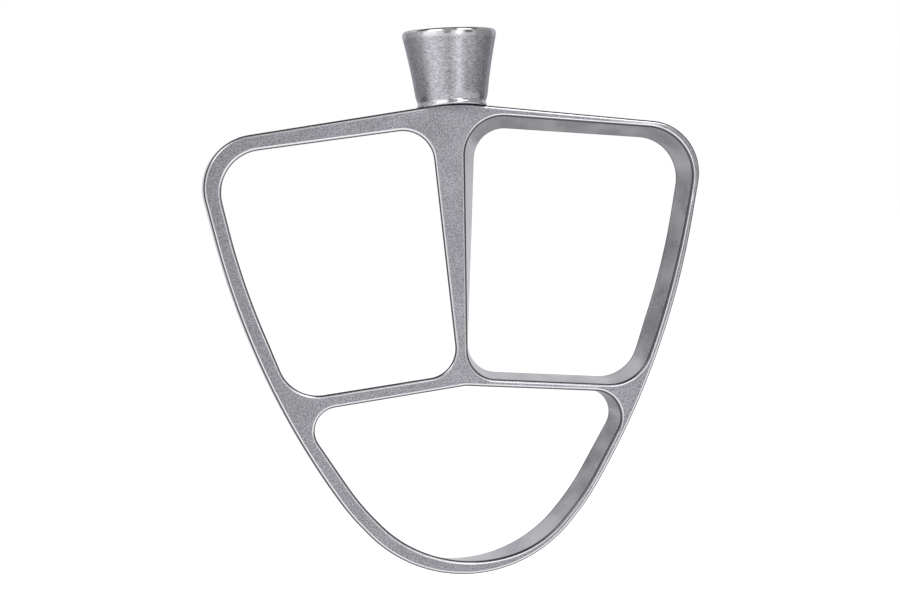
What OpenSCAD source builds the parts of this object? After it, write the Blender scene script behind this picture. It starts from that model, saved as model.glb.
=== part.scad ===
// Flat K-shaped beater for a planetary stand mixer.
// Six rigid pieces: cast frame, turned cup, threaded shank, cross pin, lock nut and washer.
// Millimetres. X is the width, Y the depth, Z up the drive axis.
// The origin is the middle of the shank's plain end, where the mixer's socket grips it.

/* [Frame] */
// Overall width of the cast frame
frame_w = 151.5; // [120:0.5:190]
// Height of the cast frame, from its lowest point to its crest under the cup
frame_h = 142.2; // [115:0.1:180]
// Depth of the casting, front face to back face
frame_d = 9; // [8.5:0.1:12]

/* [Cup] */
// Height of the cup above the crest
cup_h = 22; // [20:0.5:30]
// Outer diameter at the widest point of the rim
cup_top_d = 28.3; // [27:0.1:36]
// Outer diameter at the foot
cup_base_d = 21; // [19:0.2:26]
// Wall thickness
cup_wall = 1.6; // [1.2:0.1:1.9]
// Floor thickness
cup_floor = 2.4; // [1.5:0.1:3.5]

/* [Shank] */
// Diameter of the plain end that the mixer's socket takes
shank_d = 9.5; // [8.5:0.1:11]
// Outer diameter of the threaded stud below it
stud_d = 6; // [5:0.1:6.6]
// Length of stud inside the frame
stud_depth = 13.5; // [8:0.5:18]
// Chamfer at the top of the shank
shank_chamfer = 0.8; // [0.3:0.1:1.2]

/* [Cross pin] */
// Pin diameter
pin_d = 3; // [2.5:0.1:3.6]
// Pin length, end to end
pin_len = 15; // [12:0.5:17]

/* [Lock nut and washer] */
// Width across the nut's flats
nut_af = 10; // [8.4:0.1:11.5]
// Nut height
nut_h = 3.2; // [2.5:0.1:4]
// Washer outer diameter
washer_d = 11; // [9:0.5:13]
// Washer thickness
washer_t = 1.2; // [0.6:0.1:1.8]

/* [Hidden] */
// clearances
thread_gap = 0.05;   // stud to nut and to the frame's hole, on the radius
hole_gap = 0.15;     // stud to the holes in the cup and the washer, on the radius
pin_gap = 0.02;      // pin to its cross hole, on the radius
rim_gap = 0.5;       // the shank ends this far below the rim
relief = 0.3;        // below the plain end the shank is this much thinner, on the radius
shoulder_gap = 0.8;  // between the nut and the shank's shoulder
pin_rise = 2;        // from the shoulder to the underside of the pin
past = 0.6;          // how far a window's cut runs on past each face
eps = 0.02;          // thickness of the sheets that a window is drawn between

// heights above the crest
nut_z = cup_floor + washer_t;
shoulder_z = nut_z + nut_h + shoulder_gap;
shank_top = cup_h - rim_gap;
pin_z = shoulder_z + pin_rise + pin_d / 2;
// the plain end runs from just above the pin to the chamfer
plain_lo = pin_z + pin_d / 2 + 0.3;
plain_hi = shank_top - shank_chamfer;
crest_z = -(plain_lo + plain_hi) / 2;

// Each outline lists corners as [x, z, radius], with z near 0 at the crest.
// The frame's right half, from the crest under the cup to the foot.
outer_half = [[0, 0.4, 60], [79.1, -9.3, 16], [63.7, -81.2, 237], [36.6, -122.2, 58.5], [0, -164, 42]];
// A side window where its bars are at their widest, on the right
side_small = [[8.2, -7.3, 9.2], [72.6, -13.6, 12.3], [65.2, -50.8, 216],
              [52.1, -85.7, 12], [2.2, -80.8, 8.8]];
// The same window where its bars are at their narrowest
side_large = [[2.6, -2.7, 12], [76.8, -10.6, 15], [67.5, -54.4, 270],
              [54.2, -88.1, 13.2], [0.7, -82.7, 9.2]];
// The lower window on the front face: its left bar is wide there, its right bar narrow
lower_front = [[0, -84.9, 6], [53.6, -90.1, 8.2], [35.8, -120.2, 70], [21.9, -135, 32.4],
               [-1.7, -140.8, 40], [-22.1, -130.8, 40.8], [-33.3, -118.3, 77], [-50.7, -90.2, 6.8]];

// The mirror image, in the same order round the window, with the first corner kept first
function mirrored(c) = [for (i = [0:len(c) - 1])
    let (j = (len(c) - i) % len(c))
    [-c[j][0], c[j][1], c[j][2]]];
outer = concat(outer_half, [for (i = [3:-1:1]) [-outer_half[i][0], outer_half[i][1], outer_half[i][2]]]);

// Points along an outline whose corners are rounded to their radii
arc_steps = 8;
function unit(v) = v / norm(v);
function corner(a, p, b, r) =
    let (u = unit(a - p), w = unit(b - p), half = acos(u * w) / 2,
         c = p + unit(u + w) * r / sin(half),
         s = p + u * r / tan(half), e = p + w * r / tan(half),
         a0 = atan2(s[1] - c[1], s[0] - c[0]), a1 = atan2(e[1] - c[1], e[0] - c[0]),
         d = a1 - a0, turn = (d > 180 ? d - 360 : (d < -180 ? d + 360 : d)) / arc_steps)
    [for (k = [0:arc_steps]) c + r * [cos(a0 + turn * k), sin(a0 + turn * k)]];
function xz(c) = [c[0], c[1]];
function rounded(c) = [for (i = [0:len(c) - 1])
    let (p = xz(c[i]), a = xz(c[(i + len(c) - 1) % len(c)]), b = xz(c[(i + 1) % len(c)]))
    each corner(a, p, b, c[i][2])];
// the outlines are drawn at about their real size, then stretched to the width and height asked for,
// with z = 0 at the top of the crest
outline_top = max([for (p = rounded(outer)) p[1]]);
sx = frame_w / 2 / max([for (p = rounded(outer)) p[0]]);
sz = frame_h / (outline_top - min([for (p = rounded(outer)) p[1]]));
function stretched(pts) = [for (p = pts) [p[0] * sx, (p[1] - outline_top) * sz]];

// A flat sheet of the given outline, standing in the XZ plane and reaching from y0 to y1
module sheet_of(pts, y0, y1)
    translate([0, y1, 0]) rotate([90, 0, 0]) linear_extrude(height = y1 - y0) polygon(pts);

// A window whose outline changes evenly from the front face to the back face, and on past both
module window(front, back) {
    f = stretched(rounded(front));
    b = stretched(rounded(back));
    more = past / frame_d;
    face = frame_d / 2 + past;
    hull() {
        sheet_of([for (i = [0:len(f) - 1]) f[i] + (f[i] - b[i]) * more], -face - eps, -face);
        sheet_of([for (i = [0:len(f) - 1]) b[i] + (b[i] - f[i]) * more], face, face + eps);
    }
}

// Radius of the cup's outside at a height: a straight taper that flares gently near the rim
foot_r = cup_base_d / 2;
rim_r = cup_top_d / 2;
rim_round = 1.3;
flare = 0.25;
// before it is cut to fit the crest, the cup runs on this far below the crest's top
foot_drop = 2;
function cup_r(z) =
    let (t = z / (cup_h - rim_round))
    foot_r + (rim_r - foot_r) * t - flare * 4 * t * (1 - t);

module k_frame()
    color([0.59, 0.58, 0.61]) translate([0, 0, crest_z])
    difference() {
        sheet_of(stretched(rounded(outer)), -frame_d / 2, frame_d / 2);
        window(side_large, side_small);
        window(mirrored(side_small), mirrored(side_large));
        window(lower_front, mirrored(lower_front));
        // tapped hole for the stud, shown at the thread's outer diameter
        translate([0, 0, -stud_depth - 1])
            cylinder(h = stud_depth + 2, r = stud_d / 2 + thread_gap, $fn = 48);
    }

// The underside of the cup is hollowed to the curve of the crest, so that it sits down all round.
module hub_cup() {
    steps = 8;
    top = cup_h - rim_round;
    outside = [for (k = [0:steps]) let (z = -foot_drop + (top + foot_drop) * k / steps) [cup_r(z), z]];
    rim = [for (a = [30:30:150]) [rim_r - cup_wall / 2 + cup_wall / 2 * cos(a), top + rim_round * sin(a)]];
    inside = [for (k = [steps:-1:0]) let (z = cup_floor + 1 + (top - cup_floor - 1) * k / steps)
              [cup_r(z) - cup_wall, z]];
    profile = concat([[stud_d / 2 + hole_gap, -foot_drop]], outside, rim, inside,
                     [[cup_r(cup_floor) - cup_wall - 0.8, cup_floor], [stud_d / 2 + hole_gap, cup_floor]]);
    color([0.62, 0.61, 0.65]) translate([0, 0, crest_z])
    difference() {
        rotate_extrude($fn = 72) polygon(profile);
        sheet_of(stretched(rounded(outer)), -cup_base_d, cup_base_d);
    }
}

module drive_shank()
    color([0.66, 0.66, 0.68]) translate([0, 0, crest_z])
    difference() {
        union() {
            translate([0, 0, -stud_depth])
                cylinder(h = stud_depth + shoulder_z + 0.5, r = stud_d / 2, $fn = 48);
            translate([0, 0, shoulder_z])
                cylinder(h = plain_lo - shoulder_z + 0.1, r = shank_d / 2 - relief, $fn = 64);
            translate([0, 0, plain_lo]) cylinder(h = plain_hi - plain_lo, r = shank_d / 2, $fn = 64);
            translate([0, 0, plain_hi])
                cylinder(h = shank_chamfer, r1 = shank_d / 2, r2 = shank_d / 2 - shank_chamfer, $fn = 64);
        }
        translate([-shank_d, 0, pin_z]) rotate([0, 90, 0])
            cylinder(h = 2 * shank_d, r = pin_d / 2 + pin_gap, $fn = 32);
    }

module cross_pin() {
    tip = 0.4;
    color([0.7, 0.7, 0.72]) translate([-pin_len / 2, 0, crest_z + pin_z]) rotate([0, 90, 0])
    union() {
        cylinder(h = tip, r1 = pin_d / 2 - tip, r2 = pin_d / 2, $fn = 32);
        translate([0, 0, tip]) cylinder(h = pin_len - 2 * tip, r = pin_d / 2, $fn = 32);
        translate([0, 0, pin_len - tip]) cylinder(h = tip, r1 = pin_d / 2, r2 = pin_d / 2 - tip, $fn = 32);
    }
}

module lock_nut() {
    corner_r = nut_af / 2 / cos(30);
    bevel = 0.5;
    color([0.68, 0.68, 0.7]) translate([0, 0, crest_z + nut_z])
    difference() {
        intersection() {
            cylinder(h = nut_h, r = corner_r, $fn = 6);
            union() {
                cylinder(h = bevel, r1 = corner_r - bevel, r2 = corner_r, $fn = 48);
                translate([0, 0, bevel]) cylinder(h = nut_h - 2 * bevel, r = corner_r, $fn = 48);
                translate([0, 0, nut_h - bevel])
                    cylinder(h = bevel, r1 = corner_r, r2 = corner_r - bevel, $fn = 48);
            }
        }
        translate([0, 0, -1]) cylinder(h = nut_h + 2, r = stud_d / 2 + thread_gap, $fn = 48);
    }
}

module lock_washer()
    color([0.64, 0.64, 0.66]) translate([0, 0, crest_z + cup_floor])
    difference() {
        cylinder(h = washer_t, r = washer_d / 2, $fn = 48);
        translate([0, 0, -1]) cylinder(h = washer_t + 2, r = stud_d / 2 + hole_gap, $fn = 48);
    }

k_frame();
hub_cup();
drive_shank();
cross_pin();
lock_nut();
lock_washer();
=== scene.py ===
import math
import bpy
import bmesh
from mathutils import Matrix, Vector
from mathutils.geometry import delaunay_2d_cdt
from mathutils.kdtree import KDTree


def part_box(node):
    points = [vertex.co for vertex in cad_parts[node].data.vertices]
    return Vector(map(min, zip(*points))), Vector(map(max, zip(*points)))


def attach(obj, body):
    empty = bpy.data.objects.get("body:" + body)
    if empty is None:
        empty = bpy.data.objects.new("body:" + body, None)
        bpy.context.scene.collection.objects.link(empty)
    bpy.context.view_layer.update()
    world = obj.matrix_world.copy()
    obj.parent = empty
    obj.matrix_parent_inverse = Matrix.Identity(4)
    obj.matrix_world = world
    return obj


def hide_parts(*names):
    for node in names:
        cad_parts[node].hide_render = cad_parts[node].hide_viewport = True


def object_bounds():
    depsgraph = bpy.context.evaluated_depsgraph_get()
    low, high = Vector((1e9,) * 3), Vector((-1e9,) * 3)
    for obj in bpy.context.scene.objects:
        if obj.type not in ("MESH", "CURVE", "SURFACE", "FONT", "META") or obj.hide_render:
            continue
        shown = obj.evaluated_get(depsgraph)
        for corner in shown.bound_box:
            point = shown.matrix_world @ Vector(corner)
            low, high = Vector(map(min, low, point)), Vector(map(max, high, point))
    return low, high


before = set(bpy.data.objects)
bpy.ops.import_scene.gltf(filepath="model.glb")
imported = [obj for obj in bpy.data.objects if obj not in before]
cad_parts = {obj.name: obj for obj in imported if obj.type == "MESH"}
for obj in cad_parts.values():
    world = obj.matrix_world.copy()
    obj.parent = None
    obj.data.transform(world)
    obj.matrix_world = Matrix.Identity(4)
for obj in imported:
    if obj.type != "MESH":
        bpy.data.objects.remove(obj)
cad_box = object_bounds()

MM = 0.001
scene = bpy.context.scene

# ---------------------------------------------------------------- camera
CAMERA_AT = (-0.10815, -0.56167, -0.04227)
right = Vector((0.98167, -0.18618, -0.04081)).normalized()
ahead = Vector((0.18367, 0.98125, -0.05839)).normalized()

cam_data = bpy.data.cameras.new("camera")
cam_data.sensor_width = 36.0
cam_data.lens = 75.63
cam_data.clip_start = 0.01
cam_data.clip_end = 50.0
camera = bpy.data.objects.new("camera", cam_data)
scene.collection.objects.link(camera)
scene.camera = camera
up = right.cross(ahead).normalized()
turn = Matrix((right, up, -ahead)).transposed().to_4x4()
camera.matrix_world = Matrix.Translation(CAMERA_AT) @ turn

# ---------------------------------------------------------------- outlines of the casting
# As in the CAD source: corners are (x, z, radius) in millimetres, with z near 0 at the crest.
OUTER_HALF = [(0, 0.4, 60), (79.1, -9.3, 16), (63.7, -81.2, 237), (36.6, -122.2, 58.5), (0, -164, 42)]
OUTER = OUTER_HALF + [(-x, z, r) for x, z, r in OUTER_HALF[3:0:-1]]
# A side window where its bars are at their widest, and the same window where they are narrowest
SIDE_SMALL = [(8.2, -7.3, 9.2), (72.6, -13.6, 12.3), (65.2, -50.8, 216),
              (52.1, -85.7, 12), (2.2, -80.8, 8.8)]
SIDE_LARGE = [(2.6, -2.7, 12), (76.8, -10.6, 15), (67.5, -54.4, 270),
              (54.2, -88.1, 13.2), (0.7, -82.7, 9.2)]
# The lower window on the front face; the back face has its mirror image
LOWER_FRONT = [(0, -84.9, 6), (53.6, -90.1, 8.2), (35.8, -120.2, 70), (21.9, -135, 32.4),
               (-1.7, -140.8, 40), (-22.1, -130.8, 40.8), (-33.3, -118.3, 77), (-50.7, -90.2, 6.8)]
# How far apart the points of a drawn outline are, in millimetres
OUTLINE_STEP = 1.1


def mirrored(corners):
    """The mirror image, in the same order round the window, with the first corner kept first."""
    n = len(corners)
    return [(-corners[-i % n][0], corners[-i % n][1], corners[-i % n][2]) for i in range(n)]


def flat(corner):
    return Vector((corner[0], corner[1]))


def arc_of(corners, i):
    """Centre, start angle, turn and radius of the arc that rounds corner i."""
    p = flat(corners[i])
    a = flat(corners[i - 1])
    b = flat(corners[(i + 1) % len(corners)])
    r = corners[i][2]
    u = (a - p).normalized()
    w = (b - p).normalized()
    half = math.acos(max(-1.0, min(1.0, u.dot(w)))) / 2
    centre = p + (u + w).normalized() * (r / math.sin(half))
    start = p + u * (r / math.tan(half)) - centre
    end = p + w * (r / math.tan(half)) - centre
    a0 = math.atan2(start.y, start.x)
    sweep = (math.atan2(end.y, end.x) - a0 + math.pi) % (2 * math.pi) - math.pi
    return centre, a0, sweep, r


def rounded_pair(first, second, step):
    """The two outlines as point lists of one length, so that they can be joined point to point."""
    loops = ([], [])
    n = len(first)
    arcs = [[arc_of(c, i) for i in range(n)] for c in (first, second)]
    for i in range(n):
        longest = max(abs(arcs[k][i][2]) * arcs[k][i][3] for k in (0, 1))
        parts = max(2, round(longest / step))
        ends = []
        for k in (0, 1):
            centre, a0, sweep, r = arcs[k][i]
            for j in range(parts + 1):
                a = a0 + sweep * j / parts
                loops[k].append(centre + r * Vector((math.cos(a), math.sin(a))))
        for k in (0, 1):
            centre, a0, sweep, r = arcs[k][(i + 1) % n]
            ends.append((loops[k][-1].copy(), centre + r * Vector((math.cos(a0), math.sin(a0)))))
        gap = max((e - s).length for s, e in ends)
        parts = max(1, round(gap / step))
        for k in (0, 1):
            s, e = ends[k]
            for j in range(1, parts):
                loops[k].append(s.lerp(e, j / parts))
    return loops


def single(corners):
    """One outline by itself, with a point about every millimetre."""
    return rounded_pair(corners, corners, 1.0)[0]


# The outlines are stretched to the CAD frame's own box, as the CAD source does.
frame_low, frame_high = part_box("k_frame")
CREST = frame_high.z / MM
HALF = frame_high.y / MM
outer_points = single(OUTER)
TOP = max(p.y for p in outer_points)
SX = (frame_high.x / MM) / max(p.x for p in outer_points)
SZ = (CREST - frame_low.z / MM) / (TOP - min(p.y for p in outer_points))


def placed(points):
    """Outline points in the row frame, still in millimetres."""
    return [Vector((p.x * SX, (p.y - TOP) * SZ + CREST)) for p in points]


def normals_2d(points, outward):
    """Unit vectors across a closed outline; outward is 1 to point out of the loop, -1 to point in."""
    n = len(points)
    area = sum(points[i].x * points[(i + 1) % n].y - points[(i + 1) % n].x * points[i].y for i in range(n))
    sign = outward if area > 0 else -outward
    out = []
    for i in range(n):
        t = points[(i + 1) % n] - points[i - 1]
        t.normalize()
        out.append(Vector((t.y, -t.x)) * sign)
    return out


def inside(p, loop):
    hit = False
    n = len(loop)
    for i in range(n):
        a = loop[i]
        b = loop[(i + 1) % n]
        if (a.y > p.y) != (b.y > p.y) and p.x < (b.x - a.x) * (p.y - a.y) / (b.y - a.y) + a.x:
            hit = not hit
    return hit


def on_face(p, outlines):
    """Whether a point is inside the first outline and outside the others."""
    return inside(p, outlines[0]) and not any(inside(p, o) for o in outlines[1:])


# ---------------------------------------------------------------- meshes
def close_rings(bm, rings):
    """Faces between each ring of vertices and the next, and from the last back to the first."""
    for a, b in zip(rings, rings[1:] + rings[:1]):
        for k in range(len(a)):
            j = (k + 1) % len(a)
            bm.faces.new((a[k], a[j], b[j], b[k]))


def mesh_of(bm, name):
    mesh = bpy.data.meshes.new(name)
    bm.to_mesh(mesh)
    bm.free()
    return mesh


# ---------------------------------------------------------------- the casting
# Radius of its rounded edges in millimetres, steps round each, and steps down a wall
EDGE_R = 0.95
ARC = 8
WALL = 5
# A wall's own rows start this far from its rounded edges, in millimetres.
BESIDE = 0.25
# A face this narrow between its rims is lightened all over, partly as wear and partly as a painted
# highlight, and one this wide isn't.
NARROW = 0.15 * MM
WIDE = 0.5 * MM
# Spacing of the points inside a face, how near a rim they may come, and the height of a row
PITCH = 1.1 * MM
CLEAR = 0.6 * PITCH
ROW = 0.866 * PITCH
MERGE = 1e-7


def edge_profile(front, back, n2):
    """Points from the front face, round its edge, down the wall and round to the back face."""
    f = Vector((front.x, -HALF, front.y))
    b = Vector((back.x, HALF, back.y))
    across = Vector((n2.x, 0, n2.y))
    down = (b - f).normalized()
    arcs = []
    for corner, face_dir, wall_dir in ((f, -across, down), (b, -across, -down)):
        half = math.acos(max(-1.0, min(1.0, face_dir.dot(wall_dir)))) / 2
        t = EDGE_R / math.tan(half)
        centre = corner + (face_dir + wall_dir).normalized() * (EDGE_R / math.sin(half))
        s = corner + face_dir * t - centre
        e = corner + wall_dir * t - centre
        full = s.angle(e)
        arc = []
        for k in range(ARC + 1):
            w = k / ARC
            v = (s * math.sin((1 - w) * full) + e * math.sin(w * full)) / math.sin(full)
            arc.append(centre + v)
        arcs.append(arc)
    start = arcs[0][-1] + down * BESIDE
    end = arcs[1][-1] - down * BESIDE
    wall = [start.lerp(end, k / WALL) for k in range(WALL + 1)]
    return arcs[0] + wall + arcs[1][::-1]


def polish_and_highlight_at(k):
    """How much a rounded edge is lightened, partly as wear and partly as a painted highlight, k steps from
    the face: it fades over its last three steps.
    """
    return max(0.0, min(1.0, k, (ARC - k) / 3))


def painted_shade_at(k):
    """How much painted shade darkens the far side of a rounded edge, k steps from the face."""
    return max(0.0, min(1.0, (k - 1.8) / 1.4, (ARC + 1 - k) / 1.5))


def tree_of(verts):
    tree = KDTree(len(verts))
    for i, v in enumerate(verts):
        tree.insert(v.co, i)
    tree.balance()
    return tree


def ridge_wear_and_highlight_at(co, trees):
    """How much a face is lightened at a point, partly as wear and partly as a painted highlight, by how
    close two of its rims come to each other there.
    """
    nearest = sorted(tree.find(co)[2] for tree in trees)
    width = nearest[0] + nearest[1]
    return max(0.0, min(1.0, (WIDE - width) / (WIDE - NARROW)))


def build_casting():
    bm = bmesh.new()
    wear_and_highlight = bm.verts.layers.float.new("wear_and_highlight")
    wall = bm.verts.layers.float.new("wall")
    painted_shade = bm.verts.layers.float.new("painted_shade")
    rims = ([], [])
    columns = []
    loops = [
        (OUTER, OUTER, 1),
        (SIDE_LARGE, SIDE_SMALL, -1),
        (mirrored(SIDE_SMALL), mirrored(SIDE_LARGE), -1),
        (LOWER_FRONT, mirrored(LOWER_FRONT), -1),
    ]
    for front, back, outward in loops:
        front_points, back_points = [placed(p) for p in rounded_pair(front, back, OUTLINE_STEP)]
        middle = [(a + b) / 2 for a, b in zip(front_points, back_points)]
        rings = []
        for a, b, n2 in zip(front_points, back_points, normals_2d(middle, outward)):
            column = []
            profile = edge_profile(a, b, n2)
            for k, p in enumerate(profile):
                v = bm.verts.new(p * MM)
                near = min(k, len(profile) - 1 - k)
                # Rounded edges are lightened near the face, partly as wear and partly as a painted
                # highlight
                v[wear_and_highlight] = polish_and_highlight_at(near)
                v[wall] = min(1.0, near / ARC)
                # A painted dark line of shade along the far side of each rounded edge
                v[painted_shade] = painted_shade_at(near)
                column.append(v)
            rings.append(column)
        for a, b in zip(rings, rings[1:] + rings[:1]):
            for k in range(len(a) - 1):
                bm.faces.new((a[k], b[k], b[k + 1], a[k + 1]))
        rims[0].append([c[0] for c in rings])
        rims[1].append([c[-1] for c in rings])
        columns += rings
    trees = [[tree_of(rim) for rim in side] for side in rims]
    # Narrow faces and their edges are lightened all over, partly as wear and partly as a painted highlight
    for column in columns:
        for end in (0, 1):
            ridge = ridge_wear_and_highlight_at(column[-end].co, trees[end])
            for k in range(ARC):
                v = column[-1 - k] if end else column[k]
                v[wear_and_highlight] = max(v[wear_and_highlight], ridge * (1 - k / ARC))
    fill_face(bm, rims[0], -HALF, trees[0], wear_and_highlight)
    fill_face(bm, rims[1], HALF, trees[1], wear_and_highlight)
    bmesh.ops.recalc_face_normals(bm, faces=bm.faces)
    return mesh_of(bm, "frame_casting")


def lattice(coords, outlines):
    """Points in staggered rows over a face, clear of its rims."""
    x0 = min(c.x for c in coords)
    x1 = max(c.x for c in coords)
    z0 = min(c.y for c in coords)
    z1 = max(c.y for c in coords)
    cells = {}
    for c in coords:
        cells.setdefault((round(c.x / PITCH), round(c.y / PITCH)), []).append(c)
    points = []
    row = 0
    z = z0
    while z < z1:
        x = x0 + (PITCH / 2 if row % 2 else 0)
        while x < x1:
            p = Vector((x, z))
            i = round(x / PITCH)
            j = round(z / PITCH)
            around = [c for di in (-1, 0, 1) for dj in (-1, 0, 1) for c in cells.get((i + di, j + dj), ())]
            if all((c - p).length >= CLEAR for c in around) and on_face(p, outlines):
                points.append(p)
            x += PITCH
        z += ROW
        row += 1
    return points


def fill_face(bm, rims, y, trees, wear_and_highlight):
    """A face of the casting as small triangles between its rims."""
    verts = []
    coords = []
    edges = []
    outlines = []
    for rim in rims:
        first = len(coords)
        outlines.append([Vector((v.co.x, v.co.z)) for v in rim])
        for k, v in enumerate(rim):
            verts.append(v)
            coords.append(Vector((v.co.x, v.co.z)))
            edges.append((first + k, first + (k + 1) % len(rim)))
    coords += lattice(coords, outlines)
    found, _, triangles, sources, _, _ = delaunay_2d_cdt(coords, edges, [], 1, MERGE)
    made = {}
    for i, ids in enumerate(sources):
        if ids and ids[0] < len(verts):
            made[i] = verts[ids[0]]
    for triangle in triangles:
        centre = sum((Vector(found[i]) for i in triangle), Vector((0, 0))) / 3
        if not on_face(centre, outlines):
            continue
        for i in triangle:
            if i not in made:
                made[i] = bm.verts.new((found[i][0], y * MM, found[i][1]))
                # Face points are lightened where the face is narrow, partly as wear and partly as a
                # painted highlight
                made[i][wear_and_highlight] = ridge_wear_and_highlight_at(made[i].co, trees)
        if len({made[i] for i in triangle}) == 3:
            bm.faces.new([made[i] for i in triangle])


# ---------------------------------------------------------------- the cup
# Sizes as in the CAD source, in millimetres.
CUP_BASE_D = 21.0
CUP_WALL = 1.6
CUP_FLOOR = 2.4
HOLE_D = 6.3
RIM_ROUND = 1.3
FLARE = 0.25
cup_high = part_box("hub_cup")[1]
CUP_H = cup_high.z / MM - CREST
RIM_R = cup_high.x / MM
FOOT_R = CUP_BASE_D / 2
# How far the radius drops in at each height above the crest, for a small cove round the foot.
# It starts a little below the crest, so that the underside hardly shows from the front.
COVE = [(-0.2, 0.0), (0.3, 0.0), (0.55, 0.1), (0.8, 0.26),
        (1.1, 0.36), (1.5, 0.34), (2.0, 0.2), (2.6, 0.06)]
COVE_TOP = 3.0
SIDE_STEPS = 24
RIM_STEPS = 16
INSIDE_STEPS = 20
FLOOR_ROUND = 0.8

# The frame's outline down to this far below the crest, from left to right
NEAR_CREST = 4
crest_line = sorted((p for p in placed(outer_points) if p.y > CREST - NEAR_CREST), key=lambda p: p.x)


def crest_drop(x):
    """How far the frame's top lies below its crest at a given x, as a negative height."""
    for a, b in zip(crest_line, crest_line[1:]):
        if a.x <= x <= b.x and b.x > a.x:
            return a.y + (b.y - a.y) * (x - a.x) / (b.x - a.x) - CREST
    return 0.0


def cup_r(z):
    """The outside's radius at a height: a straight taper that flares gently near the rim."""
    t = z / (CUP_H - RIM_ROUND)
    return FOOT_R + (RIM_R - FOOT_R) * t - FLARE * 4 * t * (1 - t)


def point(r, z, follow=0.0, rub_and_highlight=0.0, painted_shade=0.0):
    """One point of a lathe profile: how far it follows the crest, how much it is lightened partly as wear
    and partly as a painted highlight, and how dark its painted shade is.
    """
    return (r, z, follow, rub_and_highlight, painted_shade)


def cup_profile():
    """From the hole round the outside and the rim, down the inside and back over the floor."""
    top = CUP_H - RIM_ROUND
    pts = [point(r, 0.0, 1.0) for r in (HOLE_D / 2, 5.0, 7.0, 8.8, FOOT_R - 0.8)]
    for z, drop in COVE:
        # The cove round the foot is lightened, partly as wear and partly as a painted highlight
        rub_and_highlight = 1.0 if 0.2 < z < 1.2 else 0.0
        pts.append(point(cup_r(z) - drop, z, 1.0 - 0.15 * z, rub_and_highlight))
    for k in range(1, SIDE_STEPS + 1):
        z = COVE_TOP + (top - COVE_TOP) * k / SIDE_STEPS
        follow = max(0.0, 0.5 - 0.5 * k / 6)
        # The last steps below the rim are lightened, partly as wear and partly as a painted highlight
        rub_and_highlight = max(0.0, (k - SIDE_STEPS + 2) / 2)
        pts.append(point(cup_r(z), z, follow, rub_and_highlight))
    for k in range(1, RIM_STEPS):
        a = math.radians(180 * k / RIM_STEPS)
        r = RIM_R - CUP_WALL / 2 * (1 - math.cos(a))
        # The rim is lightened all round, partly as wear and partly as a painted highlight, with a painted
        # dark line of shade near its top
        painted_shade = max(0.0, 1 - abs(k - 7) / 3)
        pts.append(point(r, top + RIM_ROUND * math.sin(a), 0.0, 1.0, painted_shade))
    for k in range(INSIDE_STEPS, -1, -1):
        z = CUP_FLOOR + 1 + (top - CUP_FLOOR - 1) * k / INSIDE_STEPS
        pts.append(point(cup_r(z) - CUP_WALL, z))
    corner = cup_r(CUP_FLOOR) - CUP_WALL
    for degrees in (30, 60, 90):
        a = math.radians(degrees)
        pts.append(point(corner - FLOOR_ROUND * (1 - math.cos(a)), CUP_FLOOR + 1 - math.sin(a)))
    pts += [point(r, CUP_FLOOR) for r in (6.5, 4.5, HOLE_D / 2)]
    return pts


def lathe(name, profile, segments, centre_z, axis="Z"):
    """A closed profile turned round an axis, as a mesh in metres."""
    bm = bmesh.new()
    # These layers carry the lightening, partly wear and partly a painted highlight, and the painted dark
    # line of shade
    wear_highlight_layer = bm.verts.layers.float.new("wear_and_highlight")
    shade_layer = bm.verts.layers.float.new("painted_shade")
    rings = []
    for r, h, follow, rub_and_highlight, painted_shade in profile:
        ring = []
        for k in range(segments):
            a = 2 * math.pi * k / segments
            x = r * math.cos(a)
            y = r * math.sin(a)
            if axis == "Z":
                z = h + follow * crest_drop(x) if follow else h
                p = Vector((x, y, z + centre_z))
            else:
                p = Vector((h, x, y + centre_z))
            v = bm.verts.new(p * MM)
            v[wear_highlight_layer] = rub_and_highlight
            v[shade_layer] = painted_shade
            ring.append(v)
        rings.append(ring)
    close_rings(bm, rings)
    bmesh.ops.recalc_face_normals(bm, faces=bm.faces)
    return mesh_of(bm, name)


# ---------------------------------------------------------------- the parts inside the cup
# Sizes as in the CAD source, in millimetres.
STUD_R = 3.0
THREAD_GAP = 0.05
RELIEF = 0.3
SHOULDER_GAP = 0.8
SHANK_CHAMFER = 0.8
PIN_TO_PLAIN = 0.3
NUT_AF = 10.0
NUT_BEVEL = 0.5
# What the CAD source leaves out: threads, softened edges, a countersink and a centre mark
THREAD_PITCH = 1.0
THREAD_DEPTH = 0.5
THREAD_SHAPE = ((0.0, 1.0), (0.38, 0.0), (0.5, 0.0), (0.88, 1.0))
WASHER_SOFT = 0.15
PIN_TIP = 0.6
COUNTERSINK = 0.4
MARK = ((1.5, 0.0), (0.6, 0.9))
MARK_DEPTH = 1.2
# Closed profiles come this near the axis.
CENTRE = 0.01

shank_low, shank_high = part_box("drive_shank")
pin_low, pin_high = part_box("cross_pin")
nut_low, nut_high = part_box("lock_nut")
washer_low, washer_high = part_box("lock_washer")


def height(z):
    """A height above the crest in millimetres, from one in the row frame."""
    return z / MM - CREST


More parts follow.
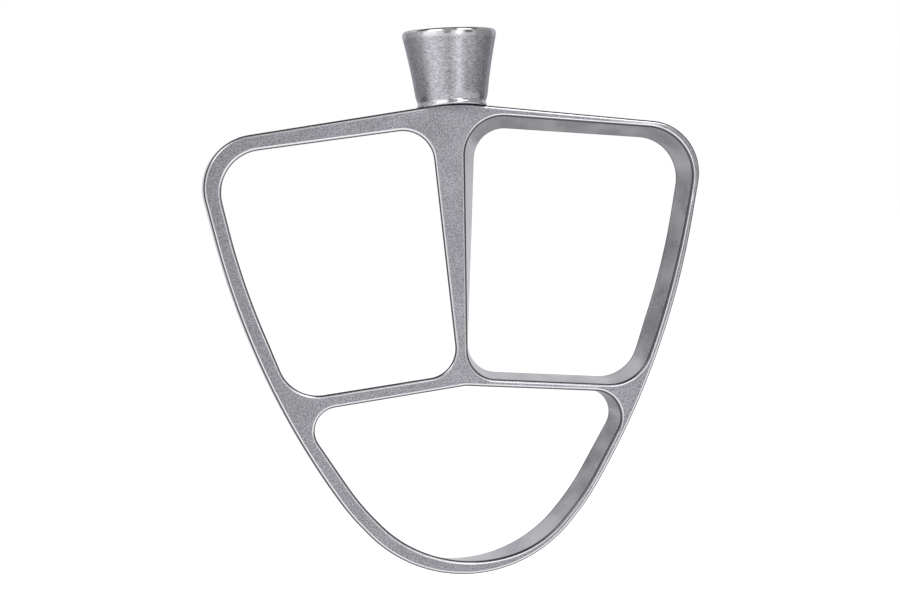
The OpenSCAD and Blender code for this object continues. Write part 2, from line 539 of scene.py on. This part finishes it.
def shank_profile():
    """From the stud's end up its thread, past the shoulder to the plain end with its centre mark."""
    foot = height(shank_low.z)
    top = height(shank_high.z)
    plain_r = shank_high.x / MM
    neck_r = plain_r - RELIEF
    shoulder = height(nut_high.z) + SHOULDER_GAP
    plain_from = height(pin_high.z) + PIN_TO_PLAIN
    plain_to = top - SHANK_CHAMFER
    pts = [point(CENTRE, foot), point(STUD_R - THREAD_DEPTH - 0.2, foot)]
    z = foot + 0.4
    while z + THREAD_PITCH < shoulder - 0.3:
        for share, depth in THREAD_SHAPE:
            pts.append(point(STUD_R - THREAD_DEPTH * depth, z + THREAD_PITCH * share))
        z += THREAD_PITCH
    pts.append(point(STUD_R - THREAD_DEPTH, shoulder))
    pts.append(point(neck_r - 0.3, shoulder))
    pts.append(point(neck_r, shoulder + 0.3))
    pts.append(point(neck_r, plain_from - RELIEF))
    pts.append(point(plain_r, plain_from))
    for k in range(1, 6):
        pts.append(point(plain_r, plain_from + (plain_to - plain_from) * k / 5))
    pts.append(point(plain_r - 0.35, top - 0.4))
    pts.append(point(plain_r - SHANK_CHAMFER, top))
    for r, depth in MARK:
        pts.append(point(r, top - depth))
    pts.append(point(CENTRE, top - MARK_DEPTH))
    return pts


def pin_profile():
    """A plain pin with rounded ends."""
    half = pin_high.x / MM
    r = (pin_high.z - pin_low.z) / 2 / MM
    end = [point(CENTRE, half), point(r - PIN_TIP, half)]
    for degrees in (30, 60, 90):
        a = math.radians(degrees)
        end.append(point(r - PIN_TIP * (1 - math.sin(a)), half - PIN_TIP * (1 - math.cos(a))))
    return [point(p[0], -p[1]) for p in end] + end[::-1]


def washer_profile():
    """A flat ring, its outer upper edge rounder than the others, as a punched washer's is."""
    low = height(washer_low.z)
    high = height(washer_high.z)
    outer_r = washer_high.x / MM
    inner_r = HOLE_D / 2
    soft = WASHER_SOFT
    return [point(inner_r, low + soft), point(inner_r + soft, low), point(outer_r - soft, low),
            point(outer_r, low + soft), point(outer_r, high - 2 * soft), point(outer_r - 2 * soft, high),
            point(inner_r + soft, high), point(inner_r, high - soft)]


def nut_mesh():
    """A hexagon nut, its corners cut back to a cone at both ends, with a countersunk hole."""
    low = height(nut_low.z)
    high = height(nut_high.z)
    corner = NUT_AF / 2 / math.cos(math.radians(30))
    hole = STUD_R + THREAD_GAP
    segments = 120
    rows = [(hole, low + COUNTERSINK, False), (hole + COUNTERSINK, low, False)]
    rows += [(corner - NUT_BEVEL * (1 - k / 4), low + NUT_BEVEL * k / 4, True) for k in range(5)]
    rows += [(corner - NUT_BEVEL * k / 4, high - NUT_BEVEL * (1 - k / 4), True) for k in range(5)]
    rows += [(hole + COUNTERSINK, high, False), (hole, high - COUNTERSINK, False)]
    bm = bmesh.new()
    rings = []
    for r, h, six_sided in rows:
        ring = []
        for k in range(segments):
            a = 2 * math.pi * k / segments
            flat_r = NUT_AF / 2 / math.cos(a % (math.pi / 3) - math.pi / 6)
            reach = min(r, flat_r) if six_sided else r
            ring.append(bm.verts.new(Vector((reach * math.cos(a), reach * math.sin(a), h + CREST)) * MM))
        rings.append(ring)
    close_rings(bm, rings)
    bmesh.ops.recalc_face_normals(bm, faces=bm.faces)
    return mesh_of(bm, "hex_nut")


# ---------------------------------------------------------------- materials
# A dark and a light tone for each skin, the tone of rubbed edges, partly wear and partly a painted
# highlight, and that of the painted dark line of shade beside them
CAST_DARK = (0.115, 0.111, 0.127)
CAST_LIGHT = (0.4, 0.391, 0.42)
WALL_DARK = (0.36, 0.355, 0.385)
WALL_LIGHT = (0.49, 0.48, 0.51)
CAST_WEAR_AND_HIGHLIGHT = (0.7, 0.69, 0.72)
CAST_PAINTED_SHADE = (0.085, 0.085, 0.1)
TURNED_DARK = (0.22, 0.215, 0.24)
TURNED_LIGHT = (0.5, 0.49, 0.52)
TURNED_WEAR_AND_HIGHLIGHT = (0.6, 0.59, 0.62)
TURNED_PAINTED_SHADE = (0.05, 0.05, 0.06)
STEEL_DARK = (0.36, 0.36, 0.38)
STEEL_LIGHT = (0.56, 0.56, 0.58)
# How much smoother a rubbed edge is than the skin, and a drawn wall than a tumbled face
RUBBED_SMOOTHER = 0.18
WALL_SMOOTHER = 0.12


def new_material(name):
    m = bpy.data.materials.new(name)
    m.use_nodes = True
    nt = m.node_tree
    return m, nt, nt.nodes["Principled BSDF"]


def add(nt, kind, **inputs):
    """A new node with some of its inputs set; an underscore stands for a space."""
    n = nt.nodes.new(kind)
    for k, v in inputs.items():
        n.inputs[k.replace("_", " ")].default_value = v
    return n


def ramp_of(nt, source, low_at, low_colour, high_at, high_colour):
    ramp = nt.nodes.new("ShaderNodeValToRGB")
    ramp.color_ramp.elements[0].position = low_at
    ramp.color_ramp.elements[0].color = (*low_colour, 1)
    ramp.color_ramp.elements[1].position = high_at
    ramp.color_ramp.elements[1].color = (*high_colour, 1)
    nt.links.new(source, ramp.inputs["Fac"])
    return ramp.outputs["Color"]


def mixed(nt, fac, a, b):
    mix = nt.nodes.new("ShaderNodeMix")
    mix.data_type = "RGBA"
    nt.links.new(fac, mix.inputs[0])
    nt.links.new(a, mix.inputs[6])
    if isinstance(b, tuple):
        mix.inputs[7].default_value = (*b, 1)
    else:
        nt.links.new(b, mix.inputs[7])
    return mix.outputs[2]


def math_node(nt, operation, a, b):
    n = nt.nodes.new("ShaderNodeMath")
    n.operation = operation
    for socket, v in zip(n.inputs, (a, b)):
        if isinstance(v, (int, float)):
            socket.default_value = v
        else:
            nt.links.new(v, socket)
    return n.outputs[0]


def layer_of(nt, name):
    """A number that the mesh carries at its vertices."""
    n = nt.nodes.new("ShaderNodeAttribute")
    n.attribute_name = name
    return n.outputs["Fac"]


def spread_of(nt, noise, low, high):
    """A noise's middle range, spread from low to high."""
    n = add(nt, "ShaderNodeMapRange", From_Min=0.3, From_Max=0.7, To_Min=low, To_Max=high)
    nt.links.new(noise, n.inputs["Value"])
    return n.outputs["Result"]


def bump_by(nt, bsdf, noise, strength, distance):
    bump = add(nt, "ShaderNodeBump", Strength=strength, Distance=distance)
    nt.links.new(noise, bump.inputs["Height"])
    nt.links.new(bump.outputs["Normal"], bsdf.inputs["Normal"])


def cast_metal():
    """Tumbled aluminium: speckled faces, smoother walls, rubbed edges lightened partly as wear and partly
    as a painted highlight, with a painted dark line of shade beside them.
    """
    m, nt, bsdf = new_material("tumbled_aluminium")
    bsdf.inputs["Metallic"].default_value = 1.0
    bsdf.inputs["Specular Tint"].default_value = (0.95, 0.95, 0.97, 1)
    co = nt.nodes.new("ShaderNodeTexCoord")
    grain = add(nt, "ShaderNodeTexNoise", Scale=2700.0, Detail=3.0, Roughness=0.65)
    broad = add(nt, "ShaderNodeTexNoise", Scale=120.0, Detail=2.0, Roughness=0.5)
    for n in (grain, broad):
        nt.links.new(co.outputs["Object"], n.inputs["Vector"])
    wear_and_highlight = layer_of(nt, "wear_and_highlight")
    wall = layer_of(nt, "wall")
    painted_shade = layer_of(nt, "painted_shade")
    speckled = ramp_of(nt, grain.outputs["Fac"], 0.34, CAST_DARK, 0.66, CAST_LIGHT)
    smooth = ramp_of(nt, broad.outputs["Fac"], 0.35, WALL_DARK, 0.65, WALL_LIGHT)
    body = mixed(nt, wall, speckled, smooth)
    # Rubbed edges and narrow faces are lightened, partly as wear and partly as a painted highlight
    with_wear_and_highlight = mixed(nt, wear_and_highlight, body, CAST_WEAR_AND_HIGHLIGHT)
    # A painted dark line of shade along the far side of rounded edges
    nt.links.new(mixed(nt, painted_shade, with_wear_and_highlight, CAST_PAINTED_SHADE), bsdf.inputs["Base Color"])
    rough = spread_of(nt, broad.outputs["Fac"], 0.34, 0.46)
    rough = math_node(nt, "SUBTRACT", rough, math_node(nt, "MULTIPLY", wear_and_highlight, RUBBED_SMOOTHER))
    rough = math_node(nt, "SUBTRACT", rough, math_node(nt, "MULTIPLY", wall, WALL_SMOOTHER))
    nt.links.new(rough, bsdf.inputs["Roughness"])
    bump_by(nt, bsdf, grain.outputs["Fac"], 0.3, 0.00008)
    return m


def turned_metal():
    """Turned aluminium: fine rings round the cup, and reflections drawn out along it."""
    m, nt, bsdf = new_material("turned_aluminium")
    bsdf.inputs["Metallic"].default_value = 1.0
    bsdf.inputs["Anisotropic"].default_value = 0.5
    bsdf.inputs["Anisotropic Rotation"].default_value = 0.25
    bsdf.inputs["Specular Tint"].default_value = (0.5, 0.5, 0.55, 1)
    tangent = nt.nodes.new("ShaderNodeTangent")
    tangent.direction_type = "RADIAL"
    tangent.axis = "Z"
    nt.links.new(tangent.outputs["Tangent"], bsdf.inputs["Tangent"])
    co = nt.nodes.new("ShaderNodeTexCoord")
    squash = nt.nodes.new("ShaderNodeMapping")
    squash.inputs["Scale"].default_value = (1000.0, 1000.0, 3200.0)
    rings = add(nt, "ShaderNodeTexNoise", Scale=1.0, Detail=3.0, Roughness=0.6)
    nt.links.new(co.outputs["Object"], squash.inputs["Vector"])
    nt.links.new(squash.outputs["Vector"], rings.inputs["Vector"])
    wear_and_highlight = layer_of(nt, "wear_and_highlight")
    painted_shade = layer_of(nt, "painted_shade")
    cut = ramp_of(nt, rings.outputs["Fac"], 0.32, TURNED_DARK, 0.68, TURNED_LIGHT)
    # Rubbed places are lightened, partly as wear and partly as a painted highlight
    with_wear_and_highlight = mixed(nt, wear_and_highlight, cut, TURNED_WEAR_AND_HIGHLIGHT)
    # A painted dark line of shade near the top of the rim
    nt.links.new(mixed(nt, painted_shade, with_wear_and_highlight, TURNED_PAINTED_SHADE), bsdf.inputs["Base Color"])
    rough = spread_of(nt, rings.outputs["Fac"], 0.27, 0.38)
    rough = math_node(nt, "SUBTRACT", rough, math_node(nt, "MULTIPLY", wear_and_highlight, RUBBED_SMOOTHER))
    nt.links.new(rough, bsdf.inputs["Roughness"])
    bump_by(nt, bsdf, rings.outputs["Fac"], 0.35, 0.00005)
    return m


def ground_steel():
    m, nt, bsdf = new_material("ground_steel")
    bsdf.inputs["Metallic"].default_value = 1.0
    co = nt.nodes.new("ShaderNodeTexCoord")
    fine = add(nt, "ShaderNodeTexNoise", Scale=1800.0, Detail=2.0, Roughness=0.5)
    nt.links.new(co.outputs["Object"], fine.inputs["Vector"])
    tone = ramp_of(nt, fine.outputs["Fac"], 0.2, STEEL_DARK, 0.8, STEEL_LIGHT)
    nt.links.new(tone, bsdf.inputs["Base Color"])
    nt.links.new(spread_of(nt, fine.outputs["Fac"], 0.16, 0.28), bsdf.inputs["Roughness"])
    return m


CAST = cast_metal()
TURNED = turned_metal()
STEEL = ground_steel()


# ---------------------------------------------------------------- the pieces
def finish_piece(name, mesh, material, node):
    obj = bpy.data.objects.new(name, mesh)
    scene.collection.objects.link(obj)
    mesh.materials.append(material)
    for p in mesh.polygons:
        p.use_smooth = True
    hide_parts(node)
    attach(obj, "root")
    return obj


def even_normals(obj):
    """Normals that lean to the larger faces, so that flats look flat beside rounded edges."""
    obj.modifiers.new("even_normals", "WEIGHTED_NORMAL").mode = "FACE_AREA"


casting = finish_piece("frame_casting", build_casting(), CAST, "k_frame")
even_normals(casting)
finish_piece("flared_cup", lathe("flared_cup", cup_profile(), 192, CREST), TURNED,
             "hub_cup")
shank = finish_piece("threaded_shank", lathe("threaded_shank", shank_profile(), 96, CREST), STEEL,
                     "drive_shank")
pin_centre = (pin_low.z + pin_high.z) / 2 / MM
pin = finish_piece("bayonet_pin", lathe("bayonet_pin", pin_profile(), 48, pin_centre, "X"), STEEL,
                   "cross_pin")
nut = finish_piece("hex_nut", nut_mesh(), STEEL, "lock_nut")
washer = finish_piece("flat_washer", lathe("flat_washer", washer_profile(), 96, CREST), STEEL,
                      "lock_washer")
for obj in (shank, pin, nut, washer):
    even_normals(obj)

# ---------------------------------------------------------------- studio
# Metres. Lamps and cards aim at the middle of the object, and the floor lies below it.
MIDDLE = Vector((0, 0, -0.085))
FLOOR_GAP = 0.06
FLOOR_SIZE = 12.0
PAPER = 0.97
FLOOR_GLOW = 0.08

scene.view_settings.view_transform = "Standard"
world = bpy.data.worlds.new("studio")
scene.world = world
world.use_nodes = True
world.node_tree.nodes["Background"].inputs["Color"].default_value = (1, 1, 1, 1)
world.node_tree.nodes["Background"].inputs["Strength"].default_value = 1.0


def matt(name, grey):
    m, _, bsdf = new_material(name)
    bsdf.inputs["Base Color"].default_value = (grey, grey, grey, 1)
    bsdf.inputs["Roughness"].default_value = 1.0
    bsdf.inputs["Specular IOR Level"].default_value = 0.0
    return m


def pale_floor():
    """Pale matt paper, a touch lighter where it is looked at, so that it runs into the white backdrop."""
    m = matt("pale_floor", PAPER)
    nt = m.node_tree
    bsdf = nt.nodes["Principled BSDF"]
    bsdf.inputs["Emission Color"].default_value = (1, 1, 1, 1)
    path = nt.nodes.new("ShaderNodeLightPath")
    seen = math_node(nt, "MAXIMUM", path.outputs["Is Camera Ray"], path.outputs["Is Glossy Ray"])
    nt.links.new(math_node(nt, "MULTIPLY", seen, FLOOR_GLOW), bsdf.inputs["Emission Strength"])
    return m


def sheet(name, w, h, material):
    """A flat rectangle, square to Z."""
    bm = bmesh.new()
    bmesh.ops.create_grid(bm, x_segments=4, y_segments=4, size=0.5)
    bmesh.ops.scale(bm, vec=(w, h, 1), verts=bm.verts)
    obj = bpy.data.objects.new(name, mesh_of(bm, name))
    scene.collection.objects.link(obj)
    obj.data.materials.append(material)
    return obj


floor = sheet("floor", FLOOR_SIZE, FLOOR_SIZE, pale_floor())
floor.location.z = cad_box[0][2] - FLOOR_GAP


def towards(az, el):
    """A direction from the object, by degrees to the right of the camera and degrees up."""
    a = math.radians(az)
    back = Vector((-ahead.x, -ahead.y, 0)).normalized()
    side = Vector((right.x, right.y, 0)).normalized()
    level = back * math.cos(a) + side * math.sin(a)
    e = math.radians(el)
    return level * math.cos(e) + Vector((0, 0, 1)) * math.sin(e)


def aimed(obj, az, el, dist):
    d = towards(az, el)
    obj.location = MIDDLE + d * dist
    obj.rotation_euler = (-d).to_track_quat("-Z", "Y").to_euler()


def softbox(name, az, el, dist, w, h, level):
    """A soft lamp; where the metal reflects it, it adds level times the white backdrop's brightness."""
    data = bpy.data.lights.new(name, "AREA")
    data.shape = "RECTANGLE"
    data.size = w
    data.size_y = h
    data.energy = level * math.pi * w * h
    lamp = bpy.data.objects.new(name, data)
    scene.collection.objects.link(lamp)
    aimed(lamp, az, el, dist)


def only_reflected(obj):
    """Leaves a card to be seen in the metal, and nowhere else."""
    obj.visible_camera = False
    obj.visible_diffuse = False
    obj.visible_shadow = False


def card(name, az, el, dist, w, h, grey):
    obj = sheet(name, w, h, matt(name, grey))
    aimed(obj, az, el, dist)
    only_reflected(obj)


def floor_card(name, behind, w, h, grey):
    """A card that lies just over the floor behind the object, for what faces down to reflect."""
    obj = sheet(name, w, h, matt(name, grey))
    obj.location = (behind * ahead.x, behind * ahead.y, floor.location.z + 0.002)
    only_reflected(obj)


softbox("left_box", -47, 4, 0.7, 0.4, 0.5, 0.45)
softbox("right_box", 24, 4, 0.7, 0.15, 0.5, 1.45)
softbox("upper_right_box", 46, 50, 1.2, 0.6, 0.5, 2.6)
softbox("upper_left_box", -40, 40, 1.2, 0.6, 0.5, 3.0)
card("middle_card", -4, 0, 0.75, 0.24, 0.9, 0.3)
card("upper_middle_card", 4, 50, 1.0, 0.5, 0.6, 0.4)
card("right_gap_card", 50, 0, 0.9, 0.34, 1.2, 0.22)
card("right_card", 98, 0, 0.6, 0.8, 1.2, 0.36)
card("left_card", -76, 0, 0.8, 0.22, 1.2, 0.6)
card("left_grey_card", -108, -6, 0.7, 0.72, 1.1, 0.43)
card("top_card", 180, 92, 0.6, 1.6, 0.34, 0.06)
floor_card("under_card", 0.24, 1.0, 0.36, 0.5)
